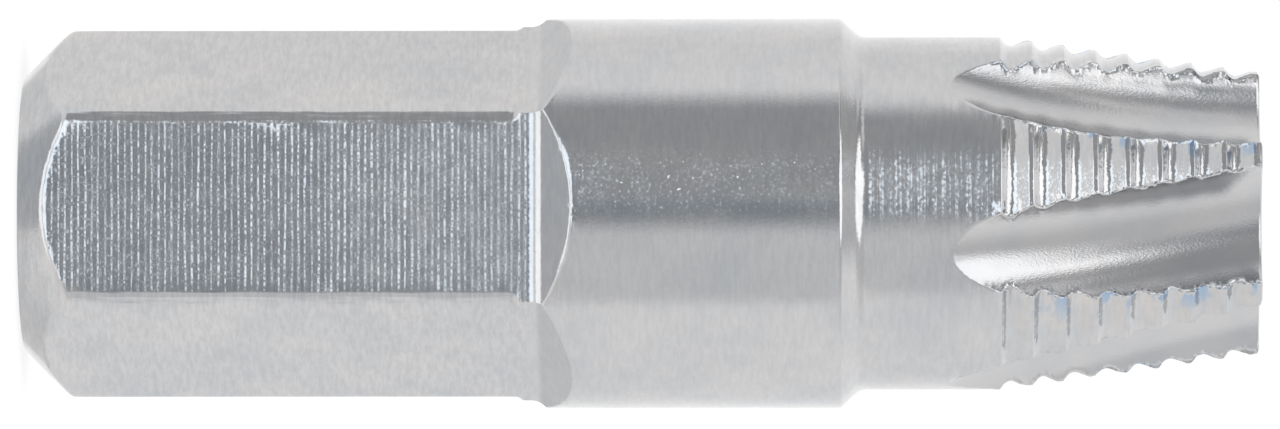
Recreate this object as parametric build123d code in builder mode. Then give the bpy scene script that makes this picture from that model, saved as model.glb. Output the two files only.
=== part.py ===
from build123d import *

import os
from math import acos, asin, cos, radians, sin, tan

# Screw extractor bit, cut from one round bar: a hexagonal drive shank with a chamfered end, a round
# collar, a conical shoulder, a round neck, and a tapered head. The head is ringed by sharp
# serrations, which are closed rings and no thread, and crossed by left-hand spiral flutes.
# Millimetres and degrees. The axis is +Z, the drive end's face lies on Z = 0, the head points up,
# and the normal of one hexagon flat is -Y. Slopes are measured from the axis.

# Round bar that everything is cut from; it is left at its full size only at the collar
collar_radius = 6.0

# Drive shank: the bar turned down by a small step, then milled to a hexagon. Its end chamfer is
# very slightly crowned.
across_flats = 10.0
flat_count = 6
shank_step = 0.34
shank_length = 15.44
end_chamfer_height = 1.48
end_chamfer_slope = 45.0
end_chamfer_crown = 0.02

# Run-out of the flats into the collar
flats_overrun = 0.47
runout_slope = 43.0
mill_corner_radius = 0.65

# Collar, shoulder and neck
collar_length = 9.76
shoulder_step = 0.57
shoulder_slope = 43.5
neck_length = 4.305

# Tapered head and its rings
ring_count = 8
ring_pitch = 0.985
ring_crest_width = 0.14
ring_lead_slope = 19.5
ring_back_slope = 50.0
head_taper = 7.85
tip_land = 0.12

# Spiral flutes. They start straight along the axis and turn more and more towards the tip: the
# twist is their whole turn over the head, and the phase is the first flute's place on the neck.
flute_count = 6
flute_radius = 1.95
flute_run_in = 1.55
flute_slope_at_start = 23.0
flute_slope_at_tip = 8.3
flute_twist = 8.3
flute_phase = 15.6

# Corner radii of the turned outline
end_edge_radius = 0.12
chamfer_edge_radius = 0.35
shank_step_radius = 0.3
collar_edge_radius = 0.2
shoulder_root_radius = 0.6
ring_crest_radius = 0.06
ring_valley_radius = 0.3
tip_edge_radius = 0.09

# Room that a cutter keeps outside the stock where it starts and ends
cutter_clearance = 0.5

# Turned radii, all stepped down from the bar
shank_radius = collar_radius - shank_step
end_face_radius = shank_radius - end_chamfer_height * tan(radians(end_chamfer_slope))
neck_radius = collar_radius - shoulder_step

# Heights of the turned outline, stacked from the drive end's face
collar_end = shank_length + collar_length
neck_start = collar_end + shoulder_step / tan(radians(shoulder_slope))
head_start = neck_start + neck_length
tip_height = head_start + ring_count * ring_pitch + tip_land


def crest_radius(height):
    """Radius of the head's taper, which runs over the crests from the neck's end to the tip."""
    return neck_radius - (height - head_start) * tan(radians(head_taper))


def ring_corners(index):
    """Groove and crest of one ring: a steep fall from the crest before, and a gentle rise."""
    groove_start = head_start + index * ring_pitch
    crest_start = groove_start + ring_pitch - ring_crest_width
    start_radius = crest_radius(groove_start)
    lead = tan(radians(ring_lead_slope))
    back = tan(radians(ring_back_slope))
    fall_height = start_radius - crest_radius(crest_start) + (crest_start - groove_start) * lead
    valley_length = fall_height / (lead + back)
    return [
        (start_radius, groove_start, ring_crest_radius),
        (start_radius - valley_length * back, groove_start + valley_length, ring_valley_radius),
        (crest_radius(crest_start), crest_start, ring_crest_radius),
    ]


# Corners of the turned outline: radius, height and corner radius, from the collar to the tip
turned_corners = [
    (shank_radius, shank_length, shank_step_radius),
    (collar_radius, shank_length, 0),
    (collar_radius, collar_end, collar_edge_radius),
    (neck_radius, neck_start, shoulder_root_radius),
]
for ring in range(ring_count):
    turned_corners += ring_corners(ring)
turned_corners.append((crest_radius(tip_height), tip_height, tip_edge_radius))

# Cutter for one flat: its floor is the flat, and its rounded corner leaves the sloped run-out
flats_end = shank_length + flats_overrun
cutter_reach = collar_radius + cutter_clearance
cutter_top = flats_end + (cutter_reach - across_flats / 2) / tan(radians(runout_slope))
flat_section = Plane(origin=(0, 0, 0), x_dir=(0, -1, 0), z_dir=(-1, 0, 0))

with BuildPart() as flat_cutter:
    with BuildSketch(flat_section):
        with BuildLine():
            FilletPolyline(
                (cutter_reach, -cutter_clearance),
                (across_flats / 2, -cutter_clearance),
                (across_flats / 2, flats_end),
                (cutter_reach, cutter_top),
                (cutter_reach, -cutter_clearance),
                radius=[0, 0, mill_corner_radius, 0],
            )
        make_face()
    extrude(amount=cutter_reach, both=True)


# Path of the round flute cutter's centre. The flute's floor leaves the neck a little before the
# head and falls towards the tip along one wide arc, steepest at its start.
flute_start = head_start - flute_run_in
start_slope = radians(flute_slope_at_start)
tip_slope = radians(flute_slope_at_tip)
floor_arc_radius = (tip_height - flute_start) / (sin(start_slope) - sin(tip_slope))
entry_slope = acos(cos(start_slope) - cutter_clearance / floor_arc_radius)
exit_slope = asin(sin(tip_slope) - cutter_clearance / floor_arc_radius)


def flute_point(slope):
    """Point of the cutter's path where the flute's floor has a given slope."""
    floor_height = flute_start + floor_arc_radius * (sin(start_slope) - sin(slope))
    floor_fall = floor_arc_radius * (cos(slope) - cos(start_slope))
    height = floor_height + flute_radius * sin(slope)
    radius = neck_radius - floor_fall + flute_radius * cos(slope)
    head_share = max(height - head_start, 0) / (tip_height - head_start)
    turn = flute_phase - flute_twist * head_share**2
    angle = radians(turn - 90)
    return (radius * cos(angle), radius * sin(angle), height)


flute_steps = 8
flute_points = [
    flute_point(entry_slope + (exit_slope - entry_slope) * step / flute_steps)
    for step in range(flute_steps + 1)
]

with BuildPart() as flute_cutter:
    with BuildLine() as flute_path:
        Spline(*flute_points)
    with BuildSketch(Plane(origin=flute_path.line @ 0, z_dir=flute_path.line % 0)):
        Circle(flute_radius)
    sweep()

end_face_corner = (end_face_radius, 0)
shank_corner = (shank_radius, end_chamfer_height)

with BuildPart() as screw_extractor:
    with BuildSketch(Plane.XZ) as turned_profile:
        with BuildLine():
            Line((0, 0), end_face_corner)
            SagittaArc(end_face_corner, shank_corner, -end_chamfer_crown)
            outline = [shank_corner]
            outline += [(radius, height) for radius, height, corner in turned_corners]
            outline += [(0, tip_height)]
            FilletPolyline(*outline, radius=[corner for radius, height, corner in turned_corners])
            Line((0, tip_height), (0, 0))
        make_face()
        fillet(turned_profile.vertices().sort_by_distance(end_face_corner)[0], end_edge_radius)
        fillet(turned_profile.vertices().sort_by_distance(shank_corner)[0], chamfer_edge_radius)
    revolve(axis=Axis.Z)
    with PolarLocations(0, flat_count):
        add(flat_cutter.part, mode=Mode.SUBTRACT)
    with PolarLocations(0, flute_count):
        add(flute_cutter.part, mode=Mode.SUBTRACT)

screw_extractor.part.label = "screw_extractor"

os.makedirs("parts", exist_ok=True)
export_step(screw_extractor.part, "parts/screw_extractor.step")
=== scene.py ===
import itertools

import bpy
import numpy as np
from mathutils import Matrix, Vector


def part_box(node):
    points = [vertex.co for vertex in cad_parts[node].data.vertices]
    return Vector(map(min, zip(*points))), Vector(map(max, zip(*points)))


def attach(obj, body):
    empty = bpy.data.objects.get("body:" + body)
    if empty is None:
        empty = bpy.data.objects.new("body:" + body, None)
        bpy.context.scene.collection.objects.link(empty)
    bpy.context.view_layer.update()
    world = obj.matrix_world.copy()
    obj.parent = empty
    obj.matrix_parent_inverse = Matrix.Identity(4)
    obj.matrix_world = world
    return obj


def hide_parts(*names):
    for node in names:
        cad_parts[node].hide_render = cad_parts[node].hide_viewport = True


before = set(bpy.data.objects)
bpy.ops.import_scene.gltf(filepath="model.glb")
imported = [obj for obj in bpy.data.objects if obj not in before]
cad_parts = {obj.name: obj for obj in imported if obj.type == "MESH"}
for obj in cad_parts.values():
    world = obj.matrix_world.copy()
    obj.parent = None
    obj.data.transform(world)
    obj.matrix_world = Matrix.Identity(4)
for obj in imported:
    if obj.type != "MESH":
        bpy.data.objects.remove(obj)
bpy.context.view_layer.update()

# Looks of a screw extractor: a hexagonal drive shank, a collar, a neck and a tapered head with
# serration rings and spiral flutes. The part's surface is built here again as one fine mesh, so
# that its edges are worn and burred as ground steel is, around the frame's own sizes.

# Sizes in millimetres and degrees, in the frame's axes: +Z is the tool's axis, and the drive end
# stands on Z = 0
MM = 0.001
NODE = "screw_extractor"
node_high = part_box(NODE)[1]
tip_height = node_high.z / MM
collar_radius = node_high.x / MM

# Drive shank
flat_distance = 5.0
flat_direction = -90.0
sector_count = 6
sector = 360 / sector_count
shank_radius = collar_radius - 0.34
shank_length = 15.44
step_corner = 0.3
step_draft = 0.01
end_chamfer_height = 1.48
end_chamfer_crown = 0.02
end_edge_corner = 0.12
chamfer_edge_corner = 0.35
flats_end = shank_length + 0.47
runout_slope = 43.0
runout_corner = 0.65

# Collar, shoulder and neck
collar_end = shank_length + 9.76
collar_edge_corner = 0.2
neck_radius = collar_radius - 0.57
shoulder_slope = 43.5
shoulder_root_corner = 0.6
neck_length = 4.305

# Tapered head and its rings
ring_count = 8
ring_pitch = 0.985
ring_crest_width = 0.14
ring_lead_slope = 19.5
ring_back_slope = 50.0
ring_crest_corner = 0.06
ring_crest_wear = 0.14
ring_valley_corner = 0.3
head_taper = 7.85

# Spiral flutes, round in section, which turn more and more towards the tip
flute_radius = 1.95
flute_run_in = 1.55
flute_slope_at_start = 23.0
flute_slope_at_tip = 8.3
flute_twist = 8.3
flute_phase = 15.6

# Heights that follow from them
neck_start = collar_end + (collar_radius - neck_radius) / np.tan(np.radians(shoulder_slope))
head_start = neck_start + neck_length
cutter_change = (flats_end + collar_end) / 2


def crest_radius(height):
    """Radius of the taper over the ring crests."""
    return neck_radius - (height - head_start) * np.tan(np.radians(head_taper))


def ring_corners(index):
    """Corners (height, radius, corner radius) of one ring: a steep fall and a gentle rise."""
    groove_start = head_start + index * ring_pitch
    crest_start = groove_start + ring_pitch - ring_crest_width
    start_radius = crest_radius(groove_start)
    lead = np.tan(np.radians(ring_lead_slope))
    back = np.tan(np.radians(ring_back_slope))
    fall_height = start_radius - crest_radius(crest_start) + (crest_start - groove_start) * lead
    valley = fall_height / (lead + back)
    return [
        (groove_start, start_radius, ring_crest_corner),
        (groove_start + valley, start_radius - valley * back, ring_valley_corner),
        (crest_start, crest_radius(crest_start), ring_crest_wear),
    ]


def rounded_outline(corners, arc_points=24):
    """Heights and radii along straight runs whose corners are rounded by arcs."""
    points = [np.array(corners[0][:2])]
    for before, here, after in zip(corners, corners[1:], corners[2:]):
        corner = np.array(here[:2])
        arriving = corner - np.array(before[:2])
        leaving = np.array(after[:2]) - corner
        arriving /= np.linalg.norm(arriving)
        leaving /= np.linalg.norm(leaving)
        turn = np.arccos(np.clip(arriving @ leaving, -1, 1))
        if here[2] == 0 or turn < 1e-6:
            points.append(corner)
            continue
        start = corner - arriving * here[2] * np.tan(turn / 2)
        side = leaving - arriving * (arriving @ leaving)
        side /= np.linalg.norm(side)
        for angle in np.linspace(0, turn, arc_points):
            swing = side * (1 - np.cos(angle)) + arriving * np.sin(angle)
            points.append(start + here[2] * swing)
    points.append(np.array(corners[-1][:2]))
    return np.array(points).T


def turned_corners():
    """Corners of the turned outline, from the centre of the drive end's face to the tip."""
    face_radius = shank_radius - end_chamfer_height
    corners = [(0, 0, 0), (0, face_radius, end_edge_corner)]
    for share in (0.25, 0.5, 0.75):
        bulge = end_chamfer_crown * 4 * share * (1 - share) * np.sqrt(2)
        height = share * end_chamfer_height
        corners.append((height, face_radius + height + bulge, 0))
    corners += [
        (end_chamfer_height, shank_radius, chamfer_edge_corner),
        (shank_length, shank_radius, step_corner),
        (shank_length + step_draft, collar_radius, 0),
        (collar_end, collar_radius, collar_edge_corner),
        (neck_start, neck_radius, shoulder_root_corner),
    ]
    for index in range(ring_count):
        corners += ring_corners(index)
    corners.append((tip_height, crest_radius(tip_height), 0))
    return corners


turned_heights, turned_radii = rounded_outline(turned_corners())[:, 1:]
mill_reach = 3.0
mill_corners = [
    (-1, flat_distance, 0),
    (flats_end, flat_distance, runout_corner),
    (flats_end + mill_reach / np.tan(np.radians(runout_slope)), flat_distance + mill_reach, 0),
]
mill_heights, mill_distances = rounded_outline(mill_corners)


def outline_at(height, heights, radii):
    """Radius of an outline at a height, and the cosine of its slope there."""
    step = 0.004
    radius = np.interp(height, heights, radii)
    above = np.interp(height + step, heights, radii)
    below = np.interp(height - step, heights, radii)
    span = np.minimum(height + step, heights[-1]) - np.maximum(height - step, heights[0])
    slope = (above - below) / np.maximum(span, step)
    return radius, 1 / np.sqrt(1 + slope * slope)


def turned_radius(height):
    """Radius of the turned body at a height."""
    return np.interp(height, turned_heights, turned_radii)


# Path of the flute cutter's centre. The flute's floor leaves the neck a little before the head and
# falls towards the tip along one wide arc, steepest at its start
flute_start = head_start - flute_run_in
start_slope = np.radians(flute_slope_at_start)
tip_slope = np.radians(flute_slope_at_tip)
floor_arc_radius = (tip_height - flute_start) / (np.sin(start_slope) - np.sin(tip_slope))
path_arc_radius = floor_arc_radius - flute_radius
arc_middle_height = flute_start + floor_arc_radius * np.sin(start_slope)
arc_middle_distance = neck_radius + floor_arc_radius * np.cos(start_slope)
path_lowest = flute_start - 3
path_highest = tip_height + 3
path_steps = 4


def head_share(height):
    """How far up the head a height lies: 0 at its start and below, 1 at the tip."""
    return np.maximum(height - head_start, 0) / (tip_height - head_start)


def flute_direction(height):
    """Direction of the first flute's middle in degrees."""
    return flat_direction + flute_phase - flute_twist * head_share(height) ** 2


def flute_path(height):
    """Centre of the flute cutter at a height, and its direction."""
    reach = height - arc_middle_height
    drop = np.sqrt(path_arc_radius**2 - reach**2)
    distance = arc_middle_distance - drop
    fall = reach / drop
    turn = np.radians(flute_direction(height))
    turn_rate = -np.radians(flute_twist) * 2 * head_share(height) / (tip_height - head_start)
    centre = np.stack([distance * np.cos(turn), distance * np.sin(turn), height])
    tangent = np.stack(
        [
            fall * np.cos(turn) - distance * turn_rate * np.sin(turn),
            fall * np.sin(turn) + distance * turn_rate * np.cos(turn),
            np.ones_like(height),
        ]
    )
    return centre, tangent


def flute_cut(radius, angle, height):
    """How deep a point lies in the flute cutter of the first sector; below zero outside it."""
    point = np.stack([radius * np.cos(angle), radius * np.sin(angle), height])
    along = np.clip(height + flute_radius * np.sin(tip_slope), path_lowest, path_highest)
    for _ in range(path_steps):
        centre, tangent = flute_path(along)
        step = np.sum((point - centre) * tangent, axis=0) / np.sum(tangent * tangent, axis=0)
        along = np.clip(along + step, path_lowest, path_highest)
    centre, tangent = flute_path(along)
    return flute_radius - np.sqrt(np.sum((point - centre) ** 2, axis=0))


def flat_cut(radius, angle, height):
    """How deep a point lies in the milling cutter of the first sector's flat."""
    distance, slope = outline_at(height, mill_heights, mill_distances)
    return (radius * np.cos(angle - np.radians(flat_direction)) - distance) * slope


def cut_depth(radius, angle, height):
    """How deep a point of the first sector lies in its cutter: the mill's, or the wheel's."""
    milled = flat_cut(radius, angle, height)
    ground = flute_cut(radius, angle, height)
    return np.where(height < cutter_change, milled, ground)


noise_values = 4096
noise_primes = (73856093, 19349663, 83492791)


def lattice_noise(x, y, z, cell, seed):
    """Smooth random values from -1 to 1, with bumps about one cell in size."""
    table = np.random.default_rng(seed).uniform(-1, 1, noise_values)
    scaled = np.stack([x, y, z]) / cell
    base = np.floor(scaled).astype(np.int64)
    part = scaled - base
    part = part * part * (3 - 2 * part)
    total = np.zeros_like(x)
    for corner in itertools.product((0, 1), repeat=3):
        key = 0
        weight = np.ones_like(x)
        for axis in range(3):
            key = key ^ ((base[axis] + corner[axis]) * noise_primes[axis])
            weight = weight * (part[axis] if corner[axis] else 1 - part[axis])
        total += weight * table[key % noise_values]
    return total


def smooth_larger(first, second, width):
    """The larger of two values, rounded over a width where they are close."""
    near = np.maximum(width - np.abs(first - second), 0)
    return np.maximum(first, second) + near * near / (4 * width)


# Wear: how round the edges are at each height, how far burrs push them about there, the lips that
# stand out along the flutes' edges, the waviness of cut faces, and the rounding of the tip's rim
round_heights = (end_chamfer_height, end_chamfer_height + 0.5, head_start - 1.2, head_start)
round_widths = (0.11, 0.042, 0.045, 0.04)
burr_heights = (head_start - 0.3, head_start + 0.3)
burr_sizes = (0.014, 0.05)
burr_reach = 0.16
burr_cell = 0.15
lip_height = 0.04
lip_reach = 0.06
lip_cell = 0.3
surface_waviness = 0.0035
wave_cell = 0.7
wave_stretch = 2.0
tip_round = 0.10


def surface(radius, angle, height, index):
    """Signed height of a point over the part's surface, and how far it lies past the edge of its
    sector's cut. The angle is in the first sector's frame, and index is the point's sector."""
    world = angle + np.radians(sector) * index
    body_radius, slope = outline_at(height, turned_heights, turned_radii)
    over_body = (radius - body_radius) * slope
    in_cutter = cut_depth(radius, angle, height)
    x = body_radius * np.cos(world)
    y = body_radius * np.sin(world)
    waves = lattice_noise(x, y, height / wave_stretch, wave_cell, seed=3) * surface_waviness
    burrs = lattice_noise(x, y, height, burr_cell, seed=5)
    burrs += 0.5 * lattice_noise(x, y, height, burr_cell / 2, seed=6)
    past_edge = in_cutter - over_body
    near_edge = np.clip(1 - np.abs(past_edge) / burr_reach, 0, 1)
    rough = burrs * near_edge * np.interp(height, burr_heights, burr_sizes)
    lips = np.clip(lattice_noise(x, y, height, lip_cell, seed=8) + 0.5, 0, 1)
    lips *= lip_height * np.interp(height, burr_heights, (0, 1))
    width = np.interp(height, round_heights, round_widths)
    value = smooth_larger(over_body + rough * 0.5, in_cutter + waves - rough * 0.5, width)
    value -= lips * np.exp(-((past_edge / lip_reach) ** 2))
    value = smooth_larger(value, height - tip_height, tip_round)
    return value, past_edge


# A place is found by halving the space between two bounds this often
halvings = 24
least_radius = 2.0


def surface_radius(angle, height, index):
    """Radius at which the surface is met, found by halving; never more than the bar's."""
    low = np.full_like(angle, least_radius)
    high = np.full_like(angle, collar_radius)
    for _ in range(halvings):
        middle = (low + high) / 2
        outside = surface(middle, angle, height, index)[0] > 0
        high = np.where(outside, middle, high)
        low = np.where(outside, low, middle)
    return low


# Stations along the axis: a height from which rings of vertices lie this far apart. They are
# closest at the chamfer, the ends of the flats, the shoulder and the start of the flutes.
station_plan = [
    (0.0, 0.022),
    (end_edge_corner, 0.1),
    (end_chamfer_height - 0.93, 0.026),
    (end_chamfer_height - 0.18, 0.035),
    (end_chamfer_height + 0.32, 0.6),
    (flats_end - 0.86, 0.035),
    (flats_end + 0.11, 0.045),
    (flats_end + 0.89, 0.016),
    (flats_end + 1.21, 0.12),
    (flats_end + 1.81, 0.8),
    (collar_end - 0.3, 0.035),
    (neck_start + 0.3, 0.35),
    (flute_start - 0.255, 0.022),
    (flute_start + 0.145, 0.055),
    (head_start - 0.105, 0.04),
]

# On the head they are closest from just before each crest to just past it, and at the tip
head_lead = 0.05
crest_lead = 0.17
crest_trail = 0.06
crest_spacing = 0.022
groove_spacing = 0.054
tip_lead = 0.2
tip_stations = 12


def stations():
    """Heights of the rings of vertices, closest where the outline bends."""
    heights = []
    ends = [start for start, spacing in station_plan[1:]] + [head_start - head_lead]
    for (start, spacing), end in zip(station_plan, ends):
        count = max(1, round((end - start) / spacing))
        heights += list(np.linspace(start, end, count, endpoint=False))
    for ring in range(ring_count):
        crest = head_start + ring * ring_pitch
        first = crest - crest_lead if ring else head_start - head_lead
        past = crest + crest_trail
        heights += list(np.arange(first, past, crest_spacing))
        last = crest + ring_pitch - crest_lead if ring < ring_count - 1 else tip_height - tip_lead
        heights += list(np.arange(past, last - groove_spacing / 3, groove_spacing))
    heights += list(np.linspace(tip_height - tip_lead, tip_height, tip_stations))
    heights += [shank_length, shank_length + step_draft]
    heights = np.unique(np.round(heights, 5))
    heights = heights[heights <= tip_height]
    heights[-1] = tip_height
    return heights


# Between the flats and the flutes the grid of vertices turns slowly, within the collar
turn_start = flats_end + 1.5
turn_end = collar_end - 0.5


def centre_direction(height):
    """Direction of the first sector's middle in degrees: the flat's normal below, then a slow
    turn within the collar, and the flute's middle above."""
    share = np.clip((height - turn_start) / (turn_end - turn_start), 0, 1)
    share = share * share * (3 - 2 * share)
    return flat_direction + (flute_direction(height) - flat_direction) * share


# Half widths of a cut in degrees, and how fast they open past its ends, per millimetre
least_half_width = 2.5
plain_half_width = 16.0
most_half_width = sector / 2 - 1
opening_rate = 14.0


def half_widths(height):
    """Angles in degrees from a sector's middle to the cut's two edges. Where nothing is cut they
    open into a plain width, away from the cut's ends."""
    middle = np.radians(centre_direction(height))
    body_radius = turned_radius(height)
    deepest = cut_depth(body_radius, middle, height)
    widths = []
    for side in (-1, 1):
        low = np.zeros_like(height)
        high = np.full_like(height, most_half_width)
        for _ in range(halvings):
            centre = (low + high) / 2
            inside = cut_depth(body_radius, middle + side * np.radians(centre), height) > 0
            low = np.where(inside, centre, low)
            high = np.where(inside, high, centre)
        widths.append(low)
    cut = deepest > 0
    first_flat = height[cut][0]
    last_flat = height[cut & (height < cutter_change)][-1]
    first_flute = height[cut & (height > cutter_change)][0]
    away = np.minimum(np.abs(height - first_flat), np.abs(height - last_flat))
    away = np.minimum(away, np.abs(height - first_flute))
    plain = np.minimum(least_half_width + away * opening_rate, plain_half_width)
    return [np.where(cut, np.maximum(width, least_half_width), plain) for width in widths]


# Columns of vertices: how many lie across a cut and across a land, and how far the ones beside
# an edge lie from it, in millimetres and at most in shares of the width between two edges
cut_columns = 16
land_columns = 7
edge_offsets = (0.02, 0.05, 0.1)
edge_shares = (0.07, 0.14, 0.21)


def zone_columns(start, end, count, scale):
    """Angles from one edge up to the next, closer to each other beside both edges. scale is the
    angle of one millimetre."""
    width = end - start
    offsets = [
        np.minimum(offset * scale, width * share)
        for offset, share in zip(edge_offsets, edge_shares)
    ]
    columns = [start] + [start + offset for offset in offsets]
    inner_start = start + offsets[-1]
    inner_end = end - offsets[-1]
    for number in range(1, count):
        columns.append(inner_start + (inner_end - inner_start) * number / count)
    columns += [end - offset for offset in reversed(offsets)]
    return columns


def build_grid():
    """Angles in each vertex's own sector frame, heights and sector indices of the whole grid."""
    height = stations()
    middle = centre_direction(height)
    left, right = half_widths(height)
    scale = np.degrees(1 / turned_radius(height))
    columns = zone_columns(middle - left, middle + right, cut_columns, scale)
    columns += zone_columns(middle + right, middle + sector - left, land_columns, scale)
    angle = np.radians(np.array(columns).T)
    index = np.zeros(angle.shape)
    past_land = np.radians(middle + (right + sector - left) / 2)[:, None]
    far = angle > past_land
    angle = np.where(far, angle - np.radians(sector), angle)
    index = index + far
    angles = np.concatenate([angle] * sector_count, axis=1)
    indices = np.concatenate([index + number for number in range(sector_count)], axis=1)
    heights = np.repeat(height[:, None], angles.shape[1], axis=1)
    return angles, heights, indices


def surface_normals(radius, angle, height, index):
    """Outward normals from the slope of the surface's height."""
    step = 0.006
    turn = step / radius
    out = surface(radius + step, angle, height, index)[0]
    out = out - surface(radius - step, angle, height, index)[0]
    around = surface(radius, angle + turn, height, index)[0]
    around = around - surface(radius, angle - turn, height, index)[0]
    upper = np.minimum(height + step, tip_height)
    lower = np.maximum(height - step, 0)
    up = surface(radius, angle, upper, index)[0] - surface(radius, angle, lower, index)[0]
    up = up * 2 * step / (upper - lower)
    world = angle + np.radians(sector) * index
    normals = np.stack(
        [
            out * np.cos(world) - around * np.sin(world),
            out * np.sin(world) + around * np.cos(world),
            up,
        ],
        axis=-1,
    )
    return normals / np.linalg.norm(normals, axis=-1, keepdims=True)


# Masks on the surface: the width over which a cut's edge blends, how far a heat tint reaches
# over a land from its edge, and how wide the burrs are
mask_blend = 0.03
rim_reach = 0.9
burr_width = 0.06

# One flute is ground unevenly on its upper side: where it leans and how much, by the direction
# that the surface faces, in degrees from the flute's middle. The place moves on towards the tip.
uneven_flute = 5
uneven_facings = (17.0, 24.0, 43.0, 48.0)
uneven_leans = (0, 1, 1, -1.2)
uneven_heights = (head_start + 1.2, head_start + 2.5)
uneven_move_heights = (head_start + 3.7, head_start + 7.4)
uneven_moves = (0, 8)


def surface_masks(angle, height, index, normals, past_edge):
    """Masks of the milled flats inside their edges, the ground flutes, the lands' rims on one
    side of the flutes, the burrs along the flutes' edges, and the uneven flute. past_edge is how
    far each point lies past the edge of its cut."""
    cut_share = np.clip(0.5 + past_edge / mask_blend, 0, 1)
    ground = cut_share * (height > cutter_change)
    middle = centre_direction(height)
    upper_half = angle > np.radians(middle)
    facing = np.degrees(np.arctan2(normals[:, 1], normals[:, 0])) - sector * index
    facing = (facing - middle + 180) % 360 - 180
    facing -= np.interp(height, uneven_move_heights, uneven_moves)
    uneven = np.interp(facing, uneven_facings, uneven_leans) * (index == uneven_flute)
    return {
        "milled": np.clip(past_edge / mask_blend - 1, 0, 1) * (height < cutter_change),
        "ground": ground,
        "land_rim": np.clip(1 + past_edge / rim_reach, 0, 1) * upper_half * (1 - cut_share),
        "burr": np.exp(-((past_edge / burr_width) ** 2)) * (height > burr_heights[0]),
        "uneven": uneven * np.interp(height, uneven_heights, (0, 1)) * ground,
    }


cap_rings = 10


def end_face(rim_points, rim_index, first_index, direction):
    """Points and faces across one end of the part, in rings from its rim to the axis. direction
    is 1 at the tip and -1 at the drive end, where the faces are turned round."""
    columns = len(rim_index)
    around = np.arange(columns)
    nearby = (around + 1) % columns
    points = []
    faces = []
    outer = rim_index
    for ring in range(1, cap_rings):
        share = 1 - ring / cap_rings
        inner = first_index + len(points) * columns + around
        points.append(rim_points * [share, share, 1])
        corners = [outer, outer[nearby], inner[nearby], inner]
        faces += np.stack(corners[::direction], axis=-1).tolist()
        outer = inner
    centre = first_index + len(points) * columns
    points.append([[0, 0, rim_points[0, 2]]])
    corners = [outer, outer[nearby], np.full(columns, centre)]
    faces += np.stack(corners[::direction], axis=-1).tolist()
    return np.concatenate(points), faces


def build_extractor():
    """The whole part as one closed mesh, with masks that say how each place was made."""
    angle, height, index = build_grid()
    rows, columns = angle.shape
    angle, height, index = angle.ravel(), height.ravel(), index.ravel()
    radius = surface_radius(angle, height, index)
    normals = surface_normals(radius, angle, height, index)
    past_edge = surface(radius, angle, height, index)[1]
    masks = surface_masks(angle, height, index, normals, past_edge)
    world = angle + np.radians(sector) * index
    points = np.stack([radius * np.cos(world), radius * np.sin(world), height], axis=-1)

    faces = []
    around = np.arange(columns)
    nearby = (around + 1) % columns
    for row in range(rows - 1):
        low = row * columns
        high = low + columns
        quads = np.stack([low + around, low + nearby, high + nearby, high + around], axis=-1)
        faces += quads.tolist()
    for rim, direction in ((0, -1), (rows - 1, 1)):
        rim_index = rim * columns + around
        end_points, end_faces = end_face(points[rim_index], rim_index, len(points), direction)
        points = np.concatenate([points, end_points])
        normals = np.concatenate([normals, np.tile([0, 0, direction], (len(end_points), 1))])
        faces += end_faces

    mesh = bpy.data.meshes.new(NODE + "_finished")
    mesh.from_pydata((points * MM).tolist(), [], faces)
    mesh.shade_smooth()
    mesh.normals_split_custom_set_from_vertices(normals.tolist())
    masks["faced"] = np.zeros(rows * columns)
    for name, values in masks.items():
        on_ends = np.full(len(points) - rows * columns, float(name == "faced"))
        attribute = mesh.attributes.new(name, "FLOAT", "POINT")
        attribute.data.foreach_set("value", np.append(values, on_ends).astype(np.float32))
    piece = bpy.data.objects.new(NODE + "_finished", mesh)
    bpy.context.scene.collection.objects.link(piece)
    return piece


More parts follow.
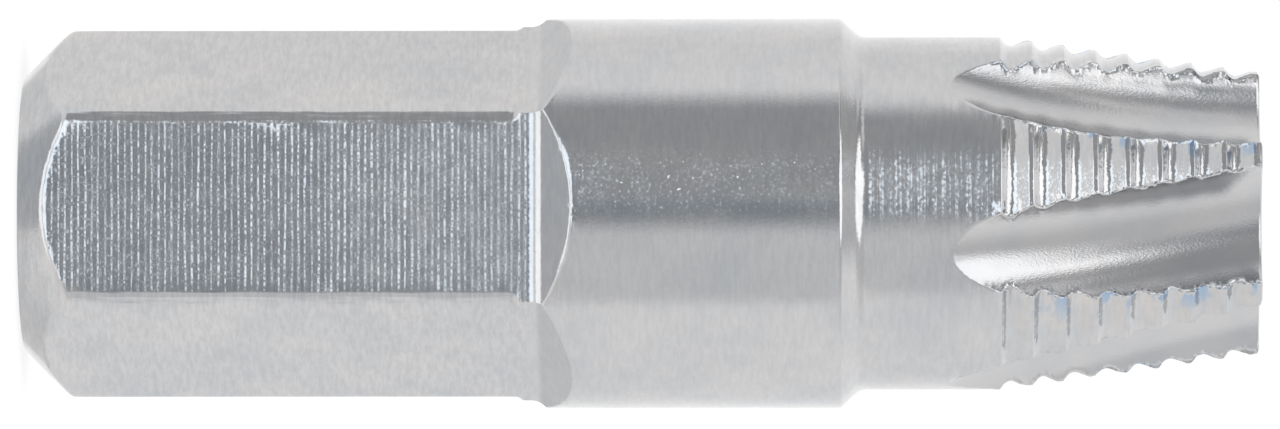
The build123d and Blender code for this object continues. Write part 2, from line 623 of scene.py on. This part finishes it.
class NodeTree:
    """A few short ways to write shader nodes."""

    def __init__(self, tree):
        self.tree = tree
        self.tree.nodes.clear()

    def node(self, kind, **settings):
        made = self.tree.nodes.new(kind)
        for name, value in settings.items():
            setattr(made, name, value)
        return made

    def link(self, source, target):
        self.tree.links.new(source, target)

    def put(self, socket, value):
        """Links a socket's value, or sets a plain one."""
        if isinstance(value, bpy.types.NodeSocket):
            self.link(value, socket)
        else:
            socket.default_value = value

    def math(self, operation, first, second=0.0, third=0.0, clamp=False):
        made = self.node("ShaderNodeMath", operation=operation, use_clamp=clamp)
        for socket, value in zip(made.inputs, (first, second, third)):
            self.put(socket, value)
        return made.outputs[0]

    def chain(self, operation, *values):
        """One operation from value to value: a sum or a product of several."""
        result = values[0]
        for value in values[1:]:
            result = self.math(operation, result, value)
        return result

    def mask(self, name):
        """One of the masks that the mesh carries."""
        return self.node("ShaderNodeAttribute", attribute_name=name).outputs["Fac"]

    def vector(self, operation, first, second=(0, 0, 0)):
        made = self.node("ShaderNodeVectorMath", operation=operation)
        self.put(made.inputs[0], first)
        self.put(made.inputs[1], second)
        return made.outputs["Value" if operation == "DOT_PRODUCT" else "Vector"]

    def smooth(self, value, start, end, low=0.0, high=1.0):
        """A smooth step from low to high while the value goes from start to end."""
        made = self.node("ShaderNodeMapRange", interpolation_type="SMOOTHSTEP")
        for socket, given in zip(made.inputs, (value, start, end, low, high)):
            self.put(socket, given)
        return made.outputs[0]

    def noise(self, vector, scale, detail=2.0, roughness=0.5):
        made = self.node("ShaderNodeTexNoise")
        self.put(made.inputs["Vector"], vector)
        made.inputs["Scale"].default_value = scale
        made.inputs["Detail"].default_value = detail
        made.inputs["Roughness"].default_value = roughness
        return made.outputs["Fac"]

    def stretched_noise(self, position, factors, detail=2.0, roughness=0.5):
        """Noise with a scale of its own along each axis."""
        return self.noise(self.vector("MULTIPLY", position, factors), 1.0, detail, roughness)

    def mix(self, factor, first, second):
        """Mix of two colours."""
        made = self.node("ShaderNodeMix", data_type="RGBA")
        self.put(made.inputs["Factor"], factor)
        self.put(made.inputs["A"], first)
        self.put(made.inputs["B"], second)
        return made.outputs["Result"]

    def ramp(self, value, stops):
        """A colour for a value from 0 to 1, straight between (place, colour) stops."""
        made = self.node("ShaderNodeValToRGB")
        elements = made.color_ramp.elements
        while len(elements) < len(stops):
            elements.new(1.0)
        for element, (place, colour) in zip(elements, stops):
            element.position = place
            element.color = (*colour, 1.0)
        self.put(made.inputs["Fac"], value)
        return made.outputs["Color"]


# Slopes along the axis that the tools' marks add to the surface. Where two of them go with two
# heights, they blend from one to the other in between. The milled lines lean a little more to
# the tip than to the drive end, which is their lift.
mill_pitch = 0.2037
mill_slope_heights = (4.0, 13.0)
mill_slopes = (0.055, 0.06)
lift_heights = (4.0, 14.0)
lifts = (0.5, 0.2)
fine_mill_slope = 0.12
mill_ends = (shank_length + 0.06, shank_length + 0.36)
mill_remainder = 0.12

shoulder_heights = (collar_end, neck_start + 0.4)
round_slope = -0.09
speckle_slopes = (0.18, 0.17)
head_speckle_slope = 0.2
nick_slope = -0.08

burr_slopes = (-0.7, 0.1)
uneven_slope = -0.07


def milled_slope(tree, position, height):
    """Milled lines across each flat: some are stronger than others, all are beaded, and they
    fade in the flats' run-out."""
    phase = tree.stretched_noise(position, (0.5, 0.5, 6.0), 1.0)
    turns = tree.math("MULTIPLY", height, 2 * np.pi / mill_pitch)
    wave = tree.math("SINE", tree.math("ADD", turns, tree.math("MULTIPLY", phase, 3.0)))
    wave = tree.math("ADD", wave, tree.smooth(height, *lift_heights, *lifts))
    lines = tree.stretched_noise(position, (0.25, 0.25, 4.9), 1.0)
    lines = tree.smooth(lines, 0.35, 0.65, 0.6, 1.35)
    beads = tree.stretched_noise(position, (10.0, 10.0, 6.0), 2.0, 0.6)
    beads = tree.smooth(beads, 0.38, 0.62, -0.1, 2.3)
    steepness = tree.smooth(height, *mill_slope_heights, *mill_slopes)
    strong = tree.chain("MULTIPLY", wave, lines, beads, steepness)
    fine = tree.stretched_noise(position, (3.0, 3.0, 30.0), 2.0, 0.7)
    fine = tree.math("MULTIPLY", tree.math("SUBTRACT", fine, 0.5), fine_mill_slope)
    fading = tree.smooth(height, *mill_ends, 1.0, mill_remainder)
    return tree.chain("MULTIPLY", tree.math("ADD", strong, fine), fading, tree.mask("milled"))


def turned_slope(tree, position, height):
    """Turned faces: beaded lines round the axis on the neck alone, a fine speckle that is about
    twice as strong on the head, and a few small nicks."""
    rounds = tree.stretched_noise(position, (0.25, 0.25, 14.0), 1.0, 0.6)
    rounds = tree.smooth(rounds, 0.40, 0.72)
    spots = tree.stretched_noise(position, (7.0, 7.0, 9.0), 2.0, 0.6)
    spots = tree.smooth(spots, 0.35, 0.65, 0.2, 1.0)
    steepness = tree.smooth(height, *shoulder_heights, 0.0, round_slope)
    dashes = tree.chain("MULTIPLY", rounds, spots, steepness)
    on_head = tree.smooth(height, head_start, head_start + 0.2, 0.0, head_speckle_slope)
    steepness = tree.math("ADD", tree.smooth(height, *shoulder_heights, *speckle_slopes), on_head)
    speckle = tree.math("SUBTRACT", tree.noise(position, 10.0, 2.0, 0.6), 0.5)
    speckle = tree.math("MULTIPLY", speckle, steepness)
    nicks = tree.smooth(tree.noise(position, 5.0, 1.0), 0.74, 0.77, 0.0, nick_slope)
    cut = tree.math("ADD", tree.mask("ground"), tree.mask("faced"))
    cut = tree.math("ADD", tree.mask("milled"), cut, clamp=True)
    turned = tree.chain("ADD", speckle, nicks, dashes)
    return tree.math("MULTIPLY", turned, tree.math("SUBTRACT", 1.0, cut))


def flute_slope(tree, position):
    """Ragged burrs along the flutes' edges, and the uneven side of one flute."""
    ragged = tree.smooth(tree.noise(position, 7.0, 2.0), 0.4, 0.6, *burr_slopes)
    ragged = tree.math("MULTIPLY", ragged, tree.mask("burr"))
    return tree.math("ADD", ragged, tree.math("MULTIPLY", tree.mask("uneven"), uneven_slope))


# Heights of the grain in millimetres: everywhere, and what the flutes have besides
grain_height = 0.0025
flute_grain_height = 0.0055


def marked_normal(tree, position, slope):
    """Normals with a bump of grain and small pits, stronger in the flutes, and with a slope
    along the axis."""
    grain = tree.math("MULTIPLY", tree.noise(position, 9.0, 4.0, 0.62), grain_height)
    flute_grain = tree.stretched_noise(position, (24.0, 24.0, 10.0), 3.0, 0.6)
    flute_grain = tree.chain("MULTIPLY", flute_grain, tree.mask("ground"), flute_grain_height)
    bump = tree.node("ShaderNodeBump")
    bump.inputs["Strength"].default_value = 1.0
    bump.inputs["Distance"].default_value = MM
    tree.link(tree.math("ADD", grain, flute_grain), bump.inputs["Height"])
    tilt = tree.node("ShaderNodeCombineXYZ")
    tree.link(slope, tilt.inputs["Z"])
    return tree.vector("NORMALIZE", tree.vector("ADD", bump.outputs[0], tilt.outputs[0]))


# The steel's colours: where its cutting lines are dark and where they are light, each between two
# clouds, and a heat tint. The lines are weaker on the turned faces.
dark_steel = ((0.54, 0.552, 0.575, 1), (0.60, 0.595, 0.60, 1))
light_steel = ((0.63, 0.64, 0.655, 1), (0.70, 0.695, 0.698, 1))
heat_blue = (0.31, 0.47, 0.68, 1)
heat_strength = 0.8
trace_ends = (shank_length - 0.04, shank_length + 0.26)
turned_trace_strength = 0.6


def steel_colour(tree, position, height):
    """Faint clouds and cutting lines, with no lines in the flutes, and patches along one edge of
    the lands that heat has tinted."""
    clouds = tree.smooth(tree.stretched_noise(position, (0.5, 0.5, 0.35), 4.0, 0.6), 0.3, 0.7)
    traces = tree.smooth(tree.stretched_noise(position, (1.5, 1.5, 7.0), 4.0, 0.7), 0.3, 0.7)
    strength = tree.smooth(height, *trace_ends, 1.0, turned_trace_strength)
    strength = tree.math("SUBTRACT", strength, tree.mask("ground"), clamp=True)
    traces = tree.math("MULTIPLY", tree.math("SUBTRACT", traces, 0.5), strength)
    traces = tree.math("ADD", traces, 0.5)
    colour = tree.mix(traces, tree.mix(clouds, *dark_steel), tree.mix(clouds, *light_steel))
    patches = tree.smooth(tree.stretched_noise(position, (0.8, 0.8, 1.7), 2.0), 0.50, 0.57)
    on_head = tree.smooth(height, head_start + 0.3, head_start + 1.0, 0.0, heat_strength)
    tinted = tree.chain("MULTIPLY", patches, tree.mask("land_rim"), on_head)
    return tree.mix(tinted, colour, heat_blue)


# Roughness: from the best polish to the least, and what the milled flats and the neck add
polish_range = (0.09, 0.15)
dull_heights = (6.0, shank_length - 0.04)
mill_dullness = (0.035, 0.13)
neck_dullness = 0.07


def steel_roughness(tree, position, height):
    """Polish, duller where the mill left the flats, most so near the collar, and on the neck."""
    polish = tree.smooth(tree.noise(position, 1.4, 3.0), 0.3, 0.7, *polish_range)
    on_flats = tree.smooth(height, *dull_heights, *mill_dullness)
    on_flats = tree.math("MULTIPLY", on_flats, tree.mask("milled"))
    on_flats = tree.math("MULTIPLY", on_flats, tree.smooth(height, *mill_ends, 1.0, 0.0))
    on_neck = tree.smooth(height, neck_start, neck_start + 0.4, 0.0, neck_dullness)
    below_head = tree.smooth(height, head_start - 0.1, head_start, 1.0, 0.0)
    not_ground = tree.math("SUBTRACT", 1.0, tree.mask("ground"))
    on_neck = tree.chain("MULTIPLY", on_neck, below_head, not_ground)
    return tree.math("ADD", polish, tree.math("ADD", on_flats, on_neck))


def steel_material():
    """Bright tool steel: milled lines on the flats, fine turning lines on the round faces, and
    grinding grain in the flutes."""
    material = bpy.data.materials.new("bright_tool_steel")
    material.use_nodes = True
    tree = NodeTree(material.node_tree)
    output = tree.node("ShaderNodeOutputMaterial")
    shader = tree.node("ShaderNodeBsdfPrincipled")
    tree.link(shader.outputs[0], output.inputs["Surface"])
    shader.inputs["Metallic"].default_value = 1.0
    coordinates = tree.node("ShaderNodeTexCoord").outputs["Object"]
    position = tree.vector("DIVIDE", coordinates, (MM, MM, MM))
    separate = tree.node("ShaderNodeSeparateXYZ")
    tree.link(position, separate.inputs[0])
    height = separate.outputs["Z"]
    slope = tree.chain(
        "ADD",
        milled_slope(tree, position, height),
        turned_slope(tree, position, height),
        flute_slope(tree, position),
    )
    tree.link(marked_normal(tree, position, slope), shader.inputs["Normal"])
    tree.link(steel_colour(tree, position, height), shader.inputs["Base Color"])
    tree.link(steel_roughness(tree, position, height), shader.inputs["Roughness"])
    return material


# The camera of the photograph: it looks level from the side, rolled a quarter turn, so that the
# tool's axis runs across the picture. Places in the picture are in its 1280 x 429 pixels.
picture_width = 1280
picture_height = 429
camera_azimuth = 2.2
camera_distance = 400.0
camera_height = 25.0
pixels_per_mm = 32.38
sensor_width = 36.0
axis_place = (24.5, 213.5)
camera_roll = 0.04


def direction(azimuth):
    """Level direction from the axis to a camera at an azimuth."""
    turn = np.radians(azimuth)
    return Vector((np.sin(turn), -np.cos(turn), 0))


to_camera = direction(camera_azimuth)
picture_up = direction(camera_azimuth - 90)
picture_right = Vector((0, 0, 1))


def make_camera():
    """A long lens, aimed so that the tool lies in the picture as in the photograph."""
    data = bpy.data.cameras.new("camera")
    camera = bpy.data.objects.new("camera", data)
    bpy.context.scene.collection.objects.link(camera)
    data.sensor_width = sensor_width
    data.lens = pixels_per_mm * camera_distance * sensor_width / picture_width
    data.clip_start = 0.01
    data.clip_end = 50
    data.dof.use_dof = False
    place = to_camera * camera_distance + picture_right * camera_height
    aim_height = (picture_width / 2 - axis_place[0]) / pixels_per_mm
    aim_side = (axis_place[1] - picture_height / 2) / pixels_per_mm
    aim = picture_right * aim_height + picture_up * aim_side
    back = (place - aim).normalized()
    tilt = np.radians(camera_roll)
    up = picture_up * np.cos(tilt) + picture_right * np.sin(tilt)
    right = up.cross(back).normalized()
    up = back.cross(right)
    turn = Matrix((right, up, back)).transposed()
    camera.matrix_world = Matrix.Translation(place * MM) @ turn.to_4x4()
    bpy.context.scene.camera = camera


def turned_share(degrees):
    """Place of a direction round the axis on a ramp from -180 to 180 degrees."""
    return (degrees + 180) / 360


def grey(level, warmth=0.0):
    """A grey of the studio, a little warmer or cooler."""
    return (level * (1 + warmth), level, level * (1 - warmth))


def studio_direction(turn, lean):
    """World direction at a turn round the axis from the camera and a lean towards the tip."""
    level = to_camera * np.cos(np.radians(turn)) + picture_up * np.sin(np.radians(turn))
    return level * np.cos(np.radians(lean)) + picture_right * np.sin(np.radians(lean))


# Tones of the light tent by the turn round the axis from the camera: level with it, past the tip,
# and past the drive end
walls = [
    (-180, grey(1.0)),
    (-160, grey(1.0)),
    (-140, grey(0.93)),
    (-58, grey(0.92)),
    (-50, grey(0.72, -0.01)),
    (-12, grey(0.73, -0.01)),
    (-4, grey(0.44, -0.03)),
    (-1, grey(0.34, -0.04)),
    (5, grey(0.32, -0.12)),
    (9, grey(0.40, -0.02)),
    (66, grey(0.40, -0.02)),
    (79, grey(0.93)),
    (130, grey(0.90, 0.015)),
    (160, grey(1.0)),
    (180, grey(1.0)),
]
tip_side = [
    (-180, grey(1.0)),
    (-90, grey(0.92)),
    (-70, grey(0.84)),
    (-50, grey(0.66)),
    (0, grey(0.60)),
    (12, grey(0.42)),
    (30, grey(0.36)),
    (60, grey(0.37)),
    (80, grey(0.40, -0.02)),
    (94, grey(0.84, 0.01)),
    (180, grey(1.0)),
]
drive_side = [
    (-180, grey(0.78)),
    (-140, grey(0.74)),
    (-115, grey(0.93)),
    (-90, grey(0.92, 0.03)),
    (-30, grey(0.92, 0.03)),
    (-10, grey(0.86)),
    (60, grey(0.86)),
    (75, grey(0.93)),
    (120, grey(0.93)),
    (150, grey(0.78)),
    (180, grey(0.78)),
]

# Leans between which the tones past each end of the tool take over. Past the drive end they
# begin lower down, except about one turn.
tip_leans = (17, 29)
drive_leans = (-3, -9)
drive_middle = 19.0
drive_reach = (17, 28)
drive_drop = 15


def make_studio():
    """The light tent round the tool: pale walls, a dim front where the camera stands, and bright
    panels past both ends of the tool. Directions are turned round the axis from the camera, and
    lean from there towards the tip."""
    world = bpy.data.worlds.new("studio")
    bpy.context.scene.world = world
    world.use_nodes = True
    tree = NodeTree(world.node_tree)
    output = tree.node("ShaderNodeOutputWorld")
    background = tree.node("ShaderNodeBackground")
    tree.link(background.outputs[0], output.inputs["Surface"])
    coordinates = tree.node("ShaderNodeTexCoord").outputs["Generated"]
    ahead = tree.vector("DOT_PRODUCT", coordinates, tuple(to_camera))
    upward = tree.vector("DOT_PRODUCT", coordinates, tuple(picture_up))
    along = tree.vector("DOT_PRODUCT", coordinates, tuple(picture_right))
    turn = tree.math("DEGREES", tree.math("ARCTAN2", upward, ahead))
    share = tree.math("DIVIDE", tree.math("ADD", turn, 180.0), 360.0)
    lean = tree.math("DEGREES", tree.math("ARCSINE", along))

    def panel(colour, centre, half, tone, soft, power):
        """Lays a soft-edged panel over the tones so far, about a (turn, lean) direction. Its
        outline is an ellipse at a power of 2, and squarer at a higher one."""
        total = 0.0
        for value, middle, half_size in zip((turn, lean), centre, half):
            offset = tree.math("DIVIDE", tree.math("SUBTRACT", value, middle), half_size)
            side = tree.math("POWER", tree.math("ABSOLUTE", offset), power)
            total = tree.math("ADD", side, total)
        reach = tree.math("POWER", total, 1 / power)
        inside = tree.smooth(reach, 1 + soft, 1 - soft)
        return tree.mix(inside, colour, (*tone, 1))

    def pool(colour, centre, inner, outer, tone):
        """Lays a round patch over the tones so far, between two angles from its centre."""
        nearness = tree.vector("DOT_PRODUCT", coordinates, tuple(studio_direction(*centre)))
        angle = tree.math("DEGREES", tree.math("ARCCOSINE", nearness))
        return tree.mix(tree.smooth(angle, outer, inner), colour, (*tone, 1))

    ramps = []
    for stops in (walls, tip_side, drive_side):
        ramps.append(tree.ramp(share, [(turned_share(place), tone) for place, tone in stops]))
    colour = tree.mix(tree.smooth(lean, *tip_leans), ramps[0], ramps[1])
    colour = pool(colour, centre=(105, 61), inner=8, outer=18, tone=grey(0.45))
    colour = panel(colour, centre=(79, 24), half=(34, 4.5), tone=grey(0.82), soft=0.2, power=4)
    colour = panel(colour, centre=(20, 58), half=(44, 25), tone=grey(1.55), soft=0.06, power=3)
    colour = panel(colour, centre=(21, 35), half=(12, 13), tone=grey(1.55), soft=0.25, power=2)
    colour = pool(colour, centre=(0, 90), inner=7, outer=18, tone=grey(0.62))
    colour = pool(colour, centre=(163, 70), inner=11, outer=16, tone=grey(1.5))
    sideways = tree.math("ABSOLUTE", tree.math("SUBTRACT", turn, drive_middle))
    lowered = tree.math("ADD", lean, tree.smooth(sideways, *drive_reach, 0, drive_drop))
    colour = tree.mix(tree.smooth(lowered, *drive_leans), colour, ramps[2])
    colour = panel(colour, centre=(19, -20), half=(20, 14), tone=grey(1.5, -0.08), soft=0.15, power=4)
    colour = panel(colour, centre=(22, -62), half=(38, 18), tone=grey(1.45), soft=0.12, power=4)
    colour = pool(colour, centre=(104, -75), inner=17, outer=23, tone=(0.545, 0.56, 0.575))
    tree.link(colour, background.inputs["Color"])


floor_half = 4.0
floor_level = -0.02 * MM
floor_tone = 0.3
floor_glow = 0.78


def make_floor():
    """A plain white floor that takes the tool's soft shadow. It doesn't show in the metal, which
    reflects the light tent all round, as in the photograph."""
    sides = ((-1, -1), (1, -1), (1, 1), (-1, 1))
    corners = [(x * floor_half, y * floor_half, floor_level) for x, y in sides]
    mesh = bpy.data.meshes.new("floor")
    mesh.from_pydata(corners, [], [(0, 1, 2, 3)])
    floor = bpy.data.objects.new("floor", mesh)
    bpy.context.scene.collection.objects.link(floor)
    material = bpy.data.materials.new("white_floor")
    material.use_nodes = True
    tree = NodeTree(material.node_tree)
    output = tree.node("ShaderNodeOutputMaterial")
    diffuse = tree.node("ShaderNodeBsdfDiffuse")
    diffuse.inputs["Color"].default_value = (floor_tone, floor_tone, floor_tone, 1)
    glow = tree.node("ShaderNodeEmission")
    glow.inputs["Strength"].default_value = floor_glow
    both = tree.node("ShaderNodeAddShader")
    tree.link(diffuse.outputs[0], both.inputs[0])
    tree.link(glow.outputs[0], both.inputs[1])
    tree.link(both.outputs[0], output.inputs["Surface"])
    mesh.materials.append(material)
    floor.visible_glossy = False


extractor = build_extractor()
extractor.data.materials.append(steel_material())
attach(extractor, "root")
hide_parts(NODE)

make_studio()
make_floor()
make_camera()
bpy.context.scene.view_settings.view_transform = "Standard"
